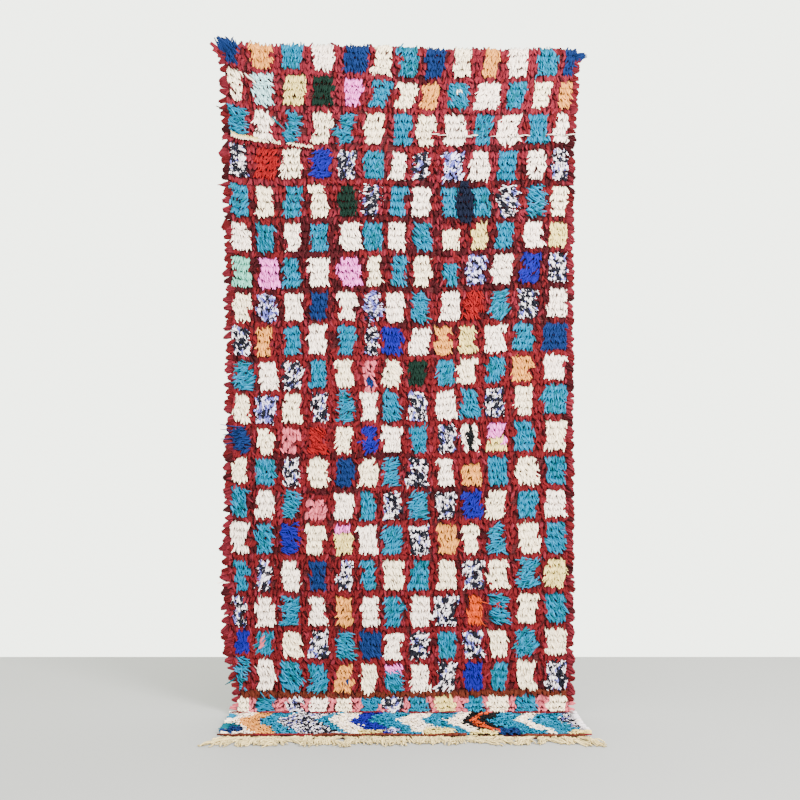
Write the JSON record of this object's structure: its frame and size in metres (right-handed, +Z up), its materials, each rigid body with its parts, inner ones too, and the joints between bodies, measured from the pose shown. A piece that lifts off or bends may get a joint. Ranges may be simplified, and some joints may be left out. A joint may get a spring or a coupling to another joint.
{
  "type": "boucherouite rug",
  "caption": "Knotted rag rug with shaggy pile, hung from its top edge, its lower end turned forward onto the floor, with ragged sides and a warp fringe.",
  "frame": {"origin": "on the floor, at the middle of the rug's box in width and depth", "axes": "+Z up the hanging cloth, -Y out of its pile towards the viewer, +X to the viewer's right"},
  "size_m": [1.2228, 0.4333, 2.244],
  "materials": {
    "rag_pile": "knotted cotton and wool rag pile in red, cream, turquoise and mixed scraps",
    "rag_edge": "raspberry red rag locks along the sides",
    "cotton_warp": "ecru twisted cotton warp ends"
  },
  "bodies": {
    "root": {"rug_field": "rag_pile", "left_edge_hanging": "rag_edge", "left_edge_floor": "rag_edge", "right_edge_hanging": "rag_edge", "right_edge_floor": "rag_edge", "warp_fringe": "cotton_warp"}
  },
  "joints": []
}
